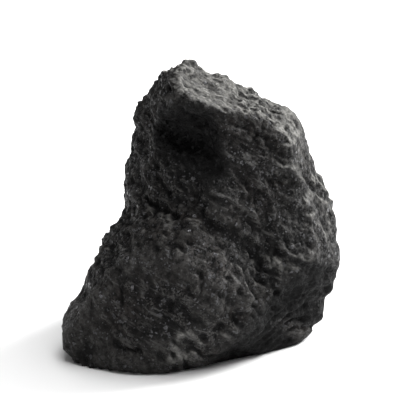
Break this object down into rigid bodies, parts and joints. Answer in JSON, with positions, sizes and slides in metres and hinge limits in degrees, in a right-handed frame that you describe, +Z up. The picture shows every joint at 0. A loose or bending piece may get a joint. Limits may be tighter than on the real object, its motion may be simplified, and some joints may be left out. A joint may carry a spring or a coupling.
{
  "type": "coal lump",
  "caption": "Irregular lump of bituminous house coal with broken faces, a ledge with a hollow under it, a swelling foot and a flat underside to rest on.",
  "frame": {"origin": "middle of the lump's box seen from above, on the plane it rests on", "axes": "+Z up, +X to the right seen from the front, the front with the swelling foot and the ledge faces -Y"},
  "size_m": [0.112, 0.097, 0.115],
  "materials": {
    "coal": "rough, broken and dull black, with small glossy bands and pale dust on top"
  },
  "bodies": {
    "root": {"coal_lump": "coal"}
  },
  "joints": []
}
